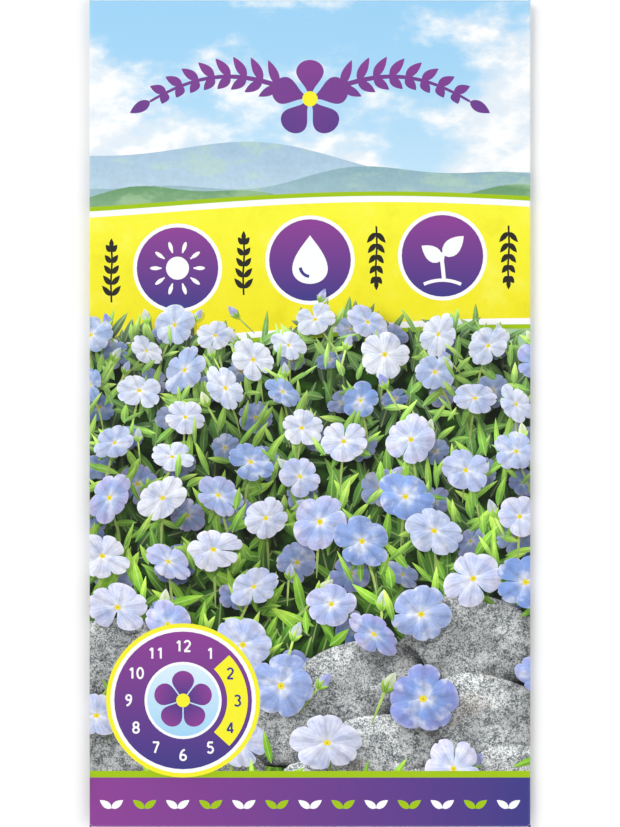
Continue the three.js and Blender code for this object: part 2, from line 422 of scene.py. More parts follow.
def nearness(y):
    """0 at the back of the bed and 1 at its front."""
    return min(1, max(0, (BED_TOP + 3 - y) / (BED_TOP + 3 - FOOTER_TOP)))


def growth(y):
    """How much larger a plant is drawn towards the front of the bed."""
    return 0.72 + 0.46 * nearness(y)


def hazed(tint, y):
    """A colour that pales a little towards the back of the bed."""
    return mixed(tint, srgb("BFD9C4"), 0.2 * (1 - nearness(y)) ** 2)


def paint_hills(art):
    """Three rounded ridges, hazier the further they lie."""
    ridges = [
        # height, swell, length of its waves, their phase, colour at the foot, colour at the top
        (45.5, 3.0, 21, 2.6, "C4DCEC", "A9C7DE"),
        (42.5, 2.0, 14, 0.2, "B5D2D8", "8FB4BF"),
        (39.5, 1.5, 10, 4.0, "A5C9A2", "6F9E72"),
    ]
    for height, swell, length, phase, low_code, top_code in ridges:
        xs = np.linspace(-PAST_X, PAST_X, 60)
        tops = height + swell * np.sin(xs / length + phase) + 0.4 * swell * np.sin(xs / length * 2.7 + phase)
        points = [(xs[0], 10), (xs[-1], 10), *zip(xs[::-1], tops[::-1])]
        art.outline(
            "hill", points, srgb(low_code), srgb(top_code), origin=(0, height - 8), along=(0, 8 + swell),
            across=(30, 0),
        )


def band_edge(x, side):
    return BAND_MIDDLE + side * BAND_HALF + 1.8 * math.sin(math.pi * x / HALF_WIDTH / 2 + 0.5 + 0.5 * side)


def paint_band(art):
    """A level yellow ribbon right across, between a white and a lime hairline, with three badges."""
    xs = np.linspace(-PAST_X, PAST_X, 49)
    for kind, grow, drop, tint, tip in (
        ("shadow", 1.9, 0.9, WHITE, WHITE), ("ink", 1.9, 0, LIME, LIME), ("ink", 1.1, 0, WHITE, WHITE),
        ("glaze", 0, 0, srgb("F1E626"), srgb("FBF83C")),
    ):
        lower = [(x, band_edge(x, -1) - grow - drop) for x in xs]
        upper = [(x, band_edge(x, 1) + grow) for x in xs[::-1]]
        foot = (0, BAND_MIDDLE - BAND_HALF)
        art.outline(kind, lower + upper, tint, tip, origin=foot, along=(0, 2 * BAND_HALF))
    paint_badges(art, 0, 24, signs_height)
    for x in (-36, -12, 12, 36):
        paint_sprig(Pen(art, x, signs_height(x), math.pi / 2 if x < 0 else -math.pi / 2))


def signs_height(x):
    """The height of the signs on the ribbon, a little above its middle."""
    return (band_edge(x, -1) + band_edge(x, 1)) / 2 + 1


def paint_sprig(pen):
    """A small dark twig of leaf pairs between two badges."""
    pen.stroke("ink", [(-5.6, 0), (-2, 0.12), (2, -0.12), (4.4, 0)], 0.17, SOFT_BLACK)
    for i in range(5):
        for side in (-1, 1):
            reach = 2.5 - 0.22 * i
            pen.motif("ink", LEAF, -4.4 + 2 * i, 0, side * 0.85, reach, 0.5, SOFT_BLACK, bend=-0.5 * side)
    pen.motif("ink", LEAF, 4.2, 0, 0, 1.8, 0.42, SOFT_BLACK)


def paint_badges(art, middle, pitch, height):
    """The three signs side by side, each on a round badge at height(x)."""
    for number, paint_sign in enumerate((paint_sun, paint_drop, paint_sprout)):
        x = middle + (number - 1) * pitch
        pen = Pen(art, x, height(x))
        pen.disc(BADGE_RADIUS + HAIRLINE, WHITE, outline=BADGE_OVAL)
        pen.disc(BADGE_RADIUS, VIOLET, INDIGO, BADGE_OVAL)
        paint_sign(pen)


def paint_sun(pen):
    pen.disc(2.1, WHITE)
    for i in range(10):
        turn = 2 * math.pi * i / 10
        pen.motif("ink", NARROW_LOBE, 2.9 * math.cos(turn), 2.9 * math.sin(turn), turn, 2.1, 0.36, WHITE)


def paint_drop(pen):
    pen.motif("ink", DROP, 0, -4.3, math.pi / 2, 8.8, 3.1, WHITE)
    pen.stroke("ink", arc(0, -1.2, 1.75, 1.75, 185, 265, 8), 0.28, INDIGO)


def paint_sprout(pen):
    pen.stroke("ink", [(0.3, -4.6), (0.1, -2.6), (-0.1, -0.8), (0.1, 0.6)], 0.36, WHITE)
    pen.motif("ink", LEAF, 0, 0.1, math.radians(38), 5.2, 1.5, WHITE, bend=0.25)
    pen.motif("ink", LEAF, 0, -0.8, math.radians(150), 4.6, 1.4, WHITE, bend=-0.25)
    pen.stroke("ink", arc(0, -12.4, 8, 8, 115, 65), 0.3, WHITE)


def petal_turns():
    return [math.pi / 2 + 2 * math.pi * i / 5 for i in range(5)]


def paint_spray(art):
    """A level ornament in the sky: two leafy sprays that part from a small flower."""
    indigo_y, violet_y = 45, 66

    def ink(y):
        return mixed(INDIGO, VIOLET, min(1, max(0, (y - indigo_y) / (violet_y - indigo_y))))

    def tinted(x, y, turn, length, width, bend=0.0, outline=LARGE_LEAF):
        tip_y = y + length * math.sin(turn)
        Pen(art, x, y).motif("ink", outline, 0, 0, turn, length, width, ink(y), ink(tip_y), bend)

    centre_x, centre_y = 0, 57
    for side in (-1, 1):
        points = [
            (centre_x + side * 29 * t, centre_y + 5 * math.sin(2.6 * t) - 3 * t * t)
            for t in np.linspace(0.1, 1, 19)
        ]
        Pen(art, 0, 0).stroke("ink", points, np.linspace(0.5, 0.22, 19), ink(centre_y + 2), ink(centre_y))
        for i in range(1, 9):
            (x0, y0), (x, y) = points[2 * i - 1], points[2 * i]
            way = math.atan2(y - y0, x - x0)
            for fork in (-1, 1):
                reach = (5.3 if fork == side else 4.3) - 0.27 * i
                tinted(x, y, way + fork * 0.92, reach, 0.85, bend=-0.35 * fork)
        (x0, y0), (x, y) = points[-2:]
        tinted(x, y, math.atan2(y - y0, x - x0), 4.2, 1.0)
    for turn in petal_turns():
        near_x, near_y = centre_x + 0.7 * math.cos(turn), centre_y + 0.7 * math.sin(turn)
        tinted(near_x, near_y, turn, 6.4, 2.5, outline=LARGE_LOBE)
    Pen(art, centre_x, centre_y).disc(1.4, YELLOW)


def paint_bed(art):
    """The dark ground of the flower bed, behind its leaves."""
    xs = np.linspace(-PAST_X, PAST_X, 61)
    top = [(x, bed_edge(x) - 1.5) for x in xs[::-1]]
    art.outline("ground", [(-PAST_X, -PAST_Y), (PAST_X, -PAST_Y), *top], srgb("16280D"), srgb("35601C"))


LEAF_LAYERS = (
    # count, length range, half width range, darker colours, brighter colours
    (520, (5, 9), (0.75, 1.15), ("16300C", "24480F"), ("2A5213", "3F7419")),
    (520, (5, 9), (0.65, 1.05), ("2F5C16", "4A8420"), ("559322", "7CB82F")),
    (400, (4, 8), (0.5, 0.9), ("4B8C1D", "70AE29"), ("86C32D", "B8E44C")),
)


def paint_leaves(art, draw, layer):
    count, lengths, widths, dark, bright = LEAF_LAYERS[layer]
    places = []
    for _ in range(count):
        x = draw.uniform(-HALF_WIDTH - 3, HALF_WIDTH + 3)
        top = bed_edge(x) - 1.5
        places.append((x, top - (top - FOOTER_TOP + 8) * draw.random() ** 1.15))
    places = [place for place in places if layer < 2 or not on_stone(*place)]
    for x, y in sorted(places, key=lambda place: -place[1]):
        size = growth(y)
        tint = drawn_ink(draw, *dark)
        tip = drawn_ink(draw, *bright)
        Pen(art, x, y, size=size).motif(
            "leaf", LEAF, 0, 0, draw.gauss(math.pi / 2, 0.8), draw.uniform(*lengths), draw.uniform(*widths),
            hazed(tint, y), hazed(tip, y), bend=draw.uniform(-1.2, 1.2), draw=draw.random(),
        )
        art.soft_shadow(x + 1.2, y + 1.2, 2.8 * size, 0.13)


STONES = (
    # x, y, width, height, turn in degrees
    (30, -42, 26, 17, -12), (9, -49, 23, 16, 8), (-36, -44, 20, 14, 14), (32, -56, 25, 17, -6),
    (-5, -58, 18, 12, -8), (14, -61, 21, 13, 4), (-37, -62, 22, 15, -4), (37, -66, 18, 11, 0),
    (-16, -66, 17, 9, 3), (3, -67, 16, 8, -3), (23, -68, 15, 8, 5),
)


def on_stone(x, y, share=0.85):
    """Whether a place lies well inside a cobble."""
    for left, low, width, height, degrees in STONES:
        turn = math.radians(degrees)
        a = (x - left) * math.cos(turn) + (y - low) * math.sin(turn)
        b = (y - low) * math.cos(turn) - (x - left) * math.sin(turn)
        if (2 * a / width) ** 2 + (2 * b / height) ** 2 < share:
            return True
    return False


def paint_stones(art, draw):
    for x, y, width, height, degrees in STONES:
        art.soft_shadow(x + 1.5, y - 1.5, width * 0.62, 0.75)
        Pen(art, x, y, math.radians(degrees)).motif(
            "stone", stone_outline(draw), -width / 2, 0, 0, width, height / 2, srgb("7C8387"), srgb("DDE0E0"),
            draw=draw.random(),
        )


PETAL_WHITE = srgb("F3F3FD")
PETAL_BLUE = srgb("7DA0E2")
PETAL_DEEP = srgb("557FCC")
PETAL_LILAC = srgb("A79ADF")
FLOWER_SPACING = 8.8          # this and the lengths below are drawn growth(y) times as large
FLOWER_CLEARANCE = 4.4        # how far from a blossom's middle buds and leaves stay
PETAL_LENGTH = 5.6
PETAL_HALF_WIDTH = 2.75
EYE_RADIUS = 0.62


def paint_flower(art, draw, x, y, scale=1.0, least_blue=0.0):
    """An open blossom: five broad notched petals about a pale star and a yellow eye."""
    blue = least_blue + (1 - least_blue) * draw.random()
    rim = mixed(PETAL_DEEP, PETAL_LILAC, draw.random() ** 2)
    tint = hazed(mixed(PETAL_WHITE, PETAL_BLUE, 0.12 + 0.85 * blue), y)
    tip = hazed(mixed(PETAL_WHITE, rim, 0.04 + 0.9 * blue), y)
    size = scale * growth(y) * draw.uniform(0.78, 1.06)
    pen = Pen(art, x, y, draw.gauss(0, 0.5), size, draw.uniform(0.6, 1))
    start = draw.uniform(0, 72)
    petals = []
    for i in range(5):
        turn = math.radians(start + 72 * i + draw.gauss(0, 4))
        outline = NOTCHED if draw.random() < 0.7 else LOBE
        length = PETAL_LENGTH * draw.uniform(0.92, 1.08)
        petals.append((outline, turn, length, PETAL_HALF_WIDTH * draw.uniform(0.88, 1.06)))
    art.soft_shadow(x + 1.0, y - 2.2, 8.2 * size, 0.6)
    for outline, turn, length, width in petals:
        pen.motif("shadow", outline, 0, 0, turn, length, width, WHITE, shift=(0.5 * size, -0.75 * size))
    for outline, turn, length, width in petals:
        bend = draw.uniform(-0.3, 0.3)
        pen.motif("petal", outline, 0, 0, turn, length, width, tint, tip, bend, draw.random())
    pen.motif(
        "eye", SMALL_OVAL, -EYE_RADIUS, 0, 0, 2 * EYE_RADIUS, EYE_RADIUS, srgb("F4E23A"), srgb("B7A322")
    )


def paint_bud(art, draw, x, y):
    turn = draw.gauss(math.pi / 2, 0.5)
    size = growth(y) * draw.uniform(0.85, 1.1)
    pen = Pen(art, x, y, turn - math.pi / 2, size)
    pen.stroke(
        "leaf", [(0.6, -6), (0.3, -3.5), (0, -0.5)], np.array((0.07, 0.22, 0.2)) * size, srgb("3C7018"),
        srgb("A9D152"),
    )
    ripe = draw.random()
    tint = mixed(srgb("CBE08A"), srgb("9E9CE0"), ripe)
    tip = mixed(srgb("EAF2C6"), srgb("8790DC"), ripe)
    pen.motif("shadow", SMALL_OVAL, 0, -0.4, math.pi / 2, 3.4, 0.95, WHITE, shift=(0.4, -0.5))
    pen.motif("petal", BUD, 0, -0.4, math.pi / 2, 3.5, 0.95, tint, tip, draw=draw.random())
    for lean in (-0.6, 0.1, 0.65):
        pen.motif("leaf", LEAF, 0, -0.6, math.pi / 2 + lean, 2.1, 0.3, srgb("6FA631"), srgb("A5D04B"))


def paint_tuft(art, draw, x, y, count, grows, scale=1.0):
    """Bright leaves round the foot of a stem, wherever grows(x, y) lets one root."""
    size = scale * growth(y)
    for _ in range(count):
        a, b = x + draw.gauss(0, 4.2) * size, y + draw.gauss(-2, 3.6) * size
        low = drawn_ink(draw, "4B8C1D", "70AE29")
        high = drawn_ink(draw, "8DC633", "C4E862")
        turn, length, width = draw.gauss(math.pi / 2, 0.9), draw.uniform(3.5, 6.8), draw.uniform(0.4, 0.75)
        bend, chance = draw.uniform(-1, 1), draw.random()
        if grows(a, b):
            Pen(art, a, b, size=size).motif(
                "leaf", LEAF, 0, 0, turn, length, width, hazed(low, y), hazed(high, y), bend, chance
            )


def paint_stem(art, x, y, lean):
    """A flower's stem, from a thin foot in the shade up to x, y."""
    size = growth(y)
    points = [(lean * 1.2, -11), (lean * 0.9, -7), (lean * 0.4, -3.5), (0, 0)]
    half_widths = np.array((0.08, 0.25, 0.23, 0.2)) * size
    Pen(art, x, y, size=size).stroke("leaf", points, half_widths, srgb("2C5713"), srgb("B5D95C"))


def paint_hidden_flowers(art, draw):
    """Smaller, bluer blossoms, deep in the bed's shade and half behind its upper leaves."""

    def free(x, y):
        return y < bed_edge(x) - 2 and not on_stone(x, y, 1.1)

    low, high = (-HALF_WIDTH, FOOTER_TOP + 4), (HALF_WIDTH, BED_TOP)
    for x, y in scattered(draw, low, high, lambda y: FLOWER_SPACING * growth(y), 900, free):
        paint_flower(art, draw, x, y, scale=0.7, least_blue=0.7)
        art.soft_shadow(x + 0.8, y - 1.5, 9 * growth(y), 0.55)


def paint_flowers(art, draw):
    """Flowers from the back of the bed to its front, with stems, leaves and buds between them."""

    def free(x, y):
        thin = math.sin(x / 8.5 + 1.0) * math.sin(y / 10.0 + 0.4)
        return y < bed_edge(x) and thin < 0.78 and not on_stone(x, y)

    def clear(x, y):
        return all(math.hypot(x - a, y - b) > FLOWER_CLEARANCE * growth(b) for a, b in painted)

    def grows(x, y):
        return y < bed_edge(x) - 2 and clear(x, y) and not on_stone(x, y)

    painted = []
    low, high = (-HALF_WIDTH - 2, FOOTER_TOP + 1), (HALF_WIDTH + 2, BED_TOP + 3)
    places = scattered(draw, low, high, lambda y: FLOWER_SPACING * growth(y), 2200, free)
    for x, y in sorted(places, key=lambda place: -place[1]):
        lean = draw.gauss(0, 2.5)
        if not on_stone(x + lean * growth(y), y - 10 * growth(y), 1):
            paint_stem(art, x, y, lean)
        paint_tuft(art, draw, x, y, 5, grows)
        bud_x, bud_y = x + draw.gauss(0, 5), y + draw.gauss(2.5, 1.5)
        if draw.random() < 0.85 and clear(bud_x, bud_y):
            paint_bud(art, draw, bud_x, bud_y)
        paint_flower(art, draw, x, y)
        painted.append((x, y))


def digit_strokes(digit):
    """The strokes of a digit in a box 0.6 wide and 1 high."""
    oval = [arc(0.3, 0.5, 0.24, 0.44, start, start + 190, 16) for start in (85, 265)]
    low_ring = [arc(0.3, 0.28, 0.24, 0.23, start, start + 190, 14) for start in (-5, 175)]
    high_ring = [arc(0.3, 0.73, 0.21, 0.21, start, start + 190, 14) for start in (-5, 175)]
    return {
        "0": oval,
        "1": [[(0.14, 0.74), (0.25, 0.84), (0.36, 0.94)], [(0.36, 0.96), (0.36, 0.5), (0.36, 0.04)]],
        "2": [arc(0.3, 0.7, 0.23, 0.24, 165, -30), [(0.5, 0.58), (0.28, 0.3), (0.07, 0.08)],
              [(0.04, 0.06), (0.3, 0.06), (0.56, 0.06)]],
        "3": [arc(0.28, 0.73, 0.22, 0.21, 150, -80), arc(0.28, 0.29, 0.25, 0.24, 80, -150)],
        "4": [[(0.42, 0.96), (0.42, 0.5), (0.42, 0.04)], [(0.42, 0.94), (0.23, 0.62), (0.04, 0.3)],
              [(0.02, 0.28), (0.3, 0.28), (0.58, 0.28)]],
        "5": [[(0.52, 0.94), (0.3, 0.94), (0.12, 0.94)], [(0.13, 0.95), (0.11, 0.75), (0.1, 0.55)],
              arc(0.28, 0.32, 0.25, 0.27, 130, -145)],
        "6": low_ring + [arc(0.46, 0.3, 0.4, 0.62, 92, 180)],
        "7": [[(0.04, 0.94), (0.3, 0.94), (0.56, 0.94)], [(0.54, 0.94), (0.36, 0.5), (0.2, 0.04)]],
        "8": low_ring + high_ring,
        "9": high_ring + [arc(0.11, 0.7, 0.4, 0.64, -90, 4)],
    }[digit]


def paint_number(art, number, x, y, height, tint, weight=0.085):
    """Plain digits centred on x, y."""
    text = str(number)
    step = 0.72 * height
    for place, digit in enumerate(text):
        left = x + (place - (len(text) - 1) / 2) * step - 0.3 * height
        for stroke in digit_strokes(digit):
            points = [(left + height * a, y + height * (b - 0.5)) for a, b in stroke]
            Pen(art, 0, 0).stroke("ink", points, weight * height, tint)


def paint_dial(art, x, y, radius):
    """A round sowing calendar: the months as plain numbers, with the sowing months lit."""
    pen = Pen(art, x, y)
    art.soft_shadow(x + 0.8, y - 1.4, radius * 1.25, 0.6)
    for grow, tint, tip in ((1.5, YELLOW, YELLOW), (HAIRLINE, WHITE, WHITE), (0, VIOLET, INDIGO)):
        pen.disc(radius + grow, tint, tip, DIAL_OVAL)
    ring = radius * 0.79
    start, end = (90 - 30 * (SOWING_MONTHS[0] - 0.5), 90 - 30 * (SOWING_MONTHS[-1] + 0.5))
    pen.stroke("ink", arc(0, 0, ring, ring, start, end, 18), radius * 0.15, YELLOW)
    for month in range(1, 13):
        turn = math.radians(90 - 30 * month)
        tint = INDIGO if month in SOWING_MONTHS else WHITE
        paint_number(art, month, x + ring * math.cos(turn), y + ring * math.sin(turn), radius * 0.17, tint)
    for share, tint, tip in ((0.56, WHITE, WHITE), (0.52, srgb("DDF0FB"), srgb("A4D6F4"))):
        pen.disc(radius * share, tint, tip, DIAL_OVAL)
    for turn in petal_turns():
        pen.motif("ink", LARGE_LOBE, 0, 0, turn, radius * 0.43, radius * 0.16, INDIGO, VIOLET)
    pen.disc(radius * 0.1, YELLOW)


def paint_footer(art):
    """A violet to indigo strip along the foot with a lime line and a row of small leaf pairs."""
    for top, tint, tip in ((FOOTER_TOP + 1.2, LIME, LIME), (FOOTER_TOP, VIOLET, INDIGO)):
        strip = rectangle(-PAST_X, -PAST_Y, PAST_X, top)
        art.outline("ink", strip, tint, tip, origin=(-HALF_WIDTH, 0), along=(2 * HALF_WIDTH, 0))
    middle = (FOOTER_TOP - HALF_HEIGHT) / 2
    for i in range(13):
        x = (i - 6) * 6
        pen = Pen(art, x, middle)
        for side in (0, 1):
            turn = math.radians(35 + 110 * side)
            pen.motif("ink", LEAF, 0, -1.1, turn, 2.6, 0.62, LIME if i % 2 else WHITE)


def paint_front(art):
    draw = random.Random(11)
    paint_hills(art)
    paint_spray(art)
    paint_bed(art)
    paint_band(art)
    paint_leaves(art, draw, 0)
    paint_leaves(art, draw, 1)
    paint_hidden_flowers(art, random.Random(23))
    paint_stones(art, draw)
    paint_leaves(art, draw, 2)
    paint_flowers(art, draw)
    paint_footer(art)
    paint_dial(art, *DIAL)


def paint_back(art):
    """The back panel and the tabs: a header, badges, a plain calendar, note lines and a small meadow.

    The heights of -90 and 100 lie past the blank, which cuts all shapes off at its own outline.
    """
    near, far = FOLDED_X + BLEED, FOLDED_X + BACK_REACH + 1
    low, high = -FOLDED_Y - BOTTOM_TAB - 1, FOLDED_Y + TOP_FLAP + 1
    sheet = srgb("F4F8FB")
    art.outline("ink", rectangle(-far, -90, -near, 100), sheet)
    art.outline("ink", rectangle(near, -90, far, 100), sheet)
    art.outline("sky", rectangle(-near, FOLDED_Y + BLEED, near, high), WHITE)
    art.outline(
        "ink", rectangle(-near, low, near, -FOLDED_Y - BLEED), VIOLET, INDIGO, origin=(-HALF_WIDTH, 0),
        along=(2 * HALF_WIDTH, 0),
    )
    middle = -FOLDED_X - (BACK_REACH - SIDE_TAB) / 2
    paint_header(art, -far, -near, middle)
    paint_badges(art, middle, 21, lambda x: 28)
    paint_month_boxes(art, middle, 12)
    paint_note_lines(art, middle)
    paint_meadow(art, -far, -near)
    art.outline("ink", rectangle(-near - 0.8, -90, -near, 100), sheet)


def paint_header(art, left, right, middle):
    """A violet strip between lime lines, with a row of small blossoms."""
    art.outline("ink", rectangle(left, 39, right, 53), LIME)
    art.outline(
        "ink", rectangle(left, 39.8, right, 52.2), VIOLET, INDIGO, origin=(middle - 34, 0), along=(68, 0)
    )
    for i in range(9):
        pen = Pen(art, middle + (i - 4) * 7.6, 46)
        for turn in petal_turns():
            pen.motif("ink", LOBE, 0, 0, turn, 2.6, 1.0, WHITE if i % 2 else srgb("B9C4F2"))
        pen.disc(0.55, YELLOW, outline=SMALL_OVAL)


def paint_month_boxes(art, middle, top):
    """Twelve squares with plain numbers: the sowing months in lime, the flowering months in pale blue."""
    half, pitch, line = 4.6, 10.1, 0.3
    for month in range(1, 13):
        column, row = (month - 1) % 6, (month - 1) // 6
        x = middle + (column - 2.5) * pitch
        y = top - row * pitch
        fill = LIME if month in SOWING_MONTHS else srgb("A9D3F2") if month in FLOWERING_MONTHS else WHITE
        art.outline("ink", square(x, y, half), VIOLET, INDIGO, origin=(middle - 30, 0), along=(60, 0))
        art.outline("ink", square(x, y, half - line), fill)
        paint_number(art, month, x, y, 4.2, NAVY, 0.1)


def paint_note_lines(art, middle):
    """A white panel with faint lines to write on."""
    art.outline("ink", rectangle(middle - 30.5, -39, middle + 30.5, -9), srgb("B9B4DA"))
    art.outline("ink", rectangle(middle - 30.2, -38.7, middle + 30.2, -9.3), WHITE)
    for i in range(4):
        y = -15 - 6 * i
        art.outline("ink", rectangle(middle - 27, y, middle + 27, y + 0.18), srgb("A7A3C9"))


def paint_meadow(art, left, right):
    """A low strip of leaves and blossoms along the foot of the back."""
    draw = random.Random(5)
    scale = 0.55
    top = [(x, -53 + 0.8 * math.sin(x / 4)) for x in np.linspace(right, left, 70)]
    art.outline("ground", [(left, -90), (right, -90), *top], srgb("1F3E12"), srgb("3B6C1C"))
    for _ in range(330):
        x, y = draw.uniform(left, right), draw.uniform(-68, -54.5)
        low = drawn_ink(draw, "2F5C16", "7DB92E")
        high = drawn_ink(draw, "7CB82F", "C6EC5E")
        turn = draw.gauss(math.pi / 2, 0.6)
        Pen(art, x, y).motif(
            "leaf", LEAF, 0, 0, turn, draw.uniform(2.5, 4.5), draw.uniform(0.35, 0.6), low, high,
            draw.uniform(-1, 1), draw.random(),
        )
    for x, y in scattered(draw, (left, -66), (right, -55), lambda y: 5.6, 400, lambda x, y: True):
        paint_tuft(art, draw, x, y, 3, lambda a, b: b < -55, scale)
        paint_flower(art, draw, x, y, scale)


def paint_everything():
    """Bare blank first, then the front, then what covers its overrun on the back and the tabs."""
    art = Art()
    art.outline("paper", blank_outline(), WHITE)
    near_x, near_y = FOLDED_X + BLEED, FOLDED_Y + BLEED
    art.outline("sky", rectangle(-near_x, -near_y, near_x, near_y), WHITE)
    paint_front(art)
    paint_back(art)
    return art


# From shapes to a mesh

def fold_lines():
    """Short lines along the blank's folds, in steps round each of them and close beside it."""
    ups = np.linspace(-FOLD_END_Y, FOLD_END_Y, math.ceil(2 * FOLD_END_Y / LONGEST_EDGE) + 1)
    alongs = np.linspace(-FOLD_END_X, FOLD_END_X, math.ceil(2 * FOLD_END_X / LONGEST_EDGE) + 1)
    lines = []
    steps = np.linspace(0, FOLD_LENGTH, FOLD_STEPS + 1)
    for reach in (-FOLD_SUPPORT, *steps, FOLD_LENGTH + FOLD_SUPPORT):
        for side in (-1, 1):
            s, w = side * (FLAT_X + reach), side * (FLAT_Y + reach)
            lines.extend([(s, start), (s, end)] for start, end in zip(ups, ups[1:]))
            lines.extend([(start, w), (end, w)] for start, end in zip(alongs, alongs[1:]))
    return lines


def grid_points(near, wide):
    """Inner points of the blank's mesh, with one spacing on the printed front and one elsewhere."""
    front = [
        (s, w)
        for s in np.arange(-FLAT_X + 0.6, FLAT_X - 0.3, near)
        for w in np.arange(-FLAT_Y + 0.6, FLAT_Y - 0.3, near)
    ]
    back = [
        (s, w)
        for s in np.arange(-FOLDED_X - BACK_REACH + 1, FOLDED_X + SIDE_TAB, wide)
        for w in np.arange(-FOLDED_Y - BOTTOM_TAB + 1, FOLDED_Y + TOP_FLAP, wide)
        if max(abs(s) - FOLDED_X, abs(w) - FOLDED_Y) > 0.5
    ]
    return front + back


def triangulate(outlines, lines, loose, kind=1, weld=1e-4):
    """Triangles that keep all outlines and lines: points, triangles, the outlines that each triangle lies
    in, and the input points that each point stands for. Kind 0 fills the hull, and 1 the outlines alone."""
    points = []
    faces = []
    edges = []
    for outline in outlines:
        faces.append(list(range(len(points), len(points) + len(outline))))
        points.extend(outline)
    for line in lines:
        edges.append((len(points), len(points) + 1))
        points.extend(line)
    points.extend(loose)
    found = geometry.delaunay_2d_cdt([Vector(p) for p in points], edges, faces, kind, weld, True)
    return np.array([tuple(v) for v in found[0]]), found[2], found[5], found[3]


def top_shapes(triangles, covers, shapes):
    """The triangles inside the blank, each with its topmost shape and the hard shadows that fall on it."""
    kept = []
    tops = []
    shadows = []
    for triangle, cover in zip(triangles, covers):
        if 0 not in cover:
            continue
        shade = 0
        for i in sorted(cover, reverse=True):
            if shapes[i].kind != "shadow":
                break
            shade += 1
        kept.append(triangle)
        tops.append(i)
        shadows.append(min(shade, 2))
    return np.array(kept), np.array(tops), np.array(shadows)


def triangle_edges(triangles):
    return np.concatenate([triangles[:, [0, 1]], triangles[:, [1, 2]], triangles[:, [2, 0]]])


def visible_edges(triangles, labels):
    """The edges between triangles with unlike labels, and those at the rim."""
    edges = np.sort(triangle_edges(triangles), axis=1)
    labels = np.tile(labels, 3)
    order = np.lexsort((edges[:, 1], edges[:, 0]))
    edges, labels = edges[order], labels[order]
    alike = (edges[1:] == edges[:-1]).all(axis=1)
    inner = alike & (labels[1:] == labels[:-1])
    dropped = np.zeros(len(edges), bool)
    dropped[1:] |= alike
    dropped[:-1] |= inner
    return edges[~dropped]


def visible_mesh(art):
    """The blank cut along what shows of the print: points, triangles, topmost shapes and hard shadows."""
    points, triangles, covers, _ = triangulate([shape.outline for shape in art.shapes], [], [])
    triangles, tops, shadows = top_shapes(triangles, covers, art.shapes)
    lines = fold_lines() + points[visible_edges(triangles, tops * 4 + shadows)].tolist()
    grid = grid_points(GRID_FRONT, GRID_BACK)
    cut_points, cut_triangles, _, _ = triangulate([], lines, grid, kind=0, weld=5e-3)
    cut_triangles = np.array(cut_triangles)

    below = bvhtree.BVHTree.FromPolygons([(x, y, 0) for x, y in points], triangles.tolist())
    middles = cut_points[cut_triangles].mean(axis=1)
    nearest = [below.find_nearest((x, y, 0))[2:] for x, y in middles.tolist()]
    found = np.array([index for index, _ in nearest])
    inside = np.array([distance for _, distance in nearest]) < 2e-3
    cut_points, cut_triangles = without_strays(cut_points, cut_triangles[inside])
    return cut_points, cut_triangles, tops[found[inside]], shadows[found[inside]]


def without_strays(points, triangles):
    used, numbers = np.unique(triangles, return_inverse=True)
    return points[used], numbers.reshape(triangles.shape)


def shade_of(points, tops, shadows, art):
    """Light left on each corner after the soft shadows above its shape and the hard ones."""
    shade = HARD_SHADE ** shadows
    order = np.argsort(points[:, 1])
    heights = points[order, 1]
    for above, x, y, radius, strength in art.soft_shadows:
        start, end = np.searchsorted(heights, (y - radius, y + radius))
        rows = order[start:end]
        rows = rows[(tops[rows] < above) & (np.abs(points[rows, 0] - x) < radius)]
        far = np.hypot(points[rows, 0] - x, points[rows, 1] - y) / radius
        shade[rows] *= 1 - strength * smooth(1 - far)
    return shade


def corner_values(points, tops, shadows, art):
    """What the materials read at each corner: place in the motif, light on it, and its two colours."""
    shapes = art.shapes
    origins = np.array([shape.origin for shape in shapes])[tops]
    axes = np.array([np.stack([shape.along, shape.across], axis=1) for shape in shapes])
    bends = np.array([shape.bend for shape in shapes])[tops]
    draws = np.array([shape.draw for shape in shapes])[tops]
    inverse = np.linalg.inv(axes)[tops]
    local = np.einsum("nij,nj->ni", inverse, points - origins)
    u = local[:, 0]
    v = local[:, 1] - bends * u * u
    light = np.einsum("nij,i->nj", unit(axes)[tops], SUNLIGHT)
    shade = shade_of(points, tops, shadows, art)
    return {
        "place": np.stack([u, v, draws], axis=1),
        "sun": np.stack([light[:, 0], light[:, 1], shade], axis=1),
        "tint": np.array([shape.tint for shape in shapes])[tops],
        "tip": np.array([shape.tip for shape in shapes])[tops],
    }


def bake_place(s, w, region):
    """Where a place of the blank lies on the piece's own map, which has a part for each region.

    The plain inner side and the cut edge need no detail, so they share a tiny part.
    """
    span = 176                  # width and height of the map, in millimetres of paper
    offsets = {
        "front": (s + 41.5, w + 88.5),
        "back": (83.5 - s - FOLDED_X, w + 96),
        "flap": (122.5 + s, w - FOLDED_Y + 1.5),
        "tab": (163.5 + s - FOLDED_X, w + 96),
        "inside": (174.6 + 0.006 * s, 1.6 + 0.006 * w),
    }
    x, y = offsets[region]
    return np.stack([x / span, y / span], axis=1)


def bake_places(s, w, centre_s, centre_w):
    """The map's places of outer corners, by the region that each one's triangle lies in."""
    places = bake_place(s, w, "front")
    for region, inside in (
        ("back", centre_s < -FOLDED_X),
        ("flap", centre_w > FOLDED_Y),
        ("tab", centre_s > FOLDED_X),
    ):
        places[inside] = bake_place(s[inside], w[inside], region)
    return places


def boundary_loop(triangles):
    """The blank's edge as one loop of vertices, counter-clockwise."""
    edges = triangle_edges(triangles).tolist()
    ways = {(a, b) for a, b in edges}
    following = {a: b for a, b in edges if (b, a) not in ways}
    start = next(iter(following))
    loop = [start]
    while following[loop[-1]] != start:
        loop.append(following[loop[-1]])
    return loop


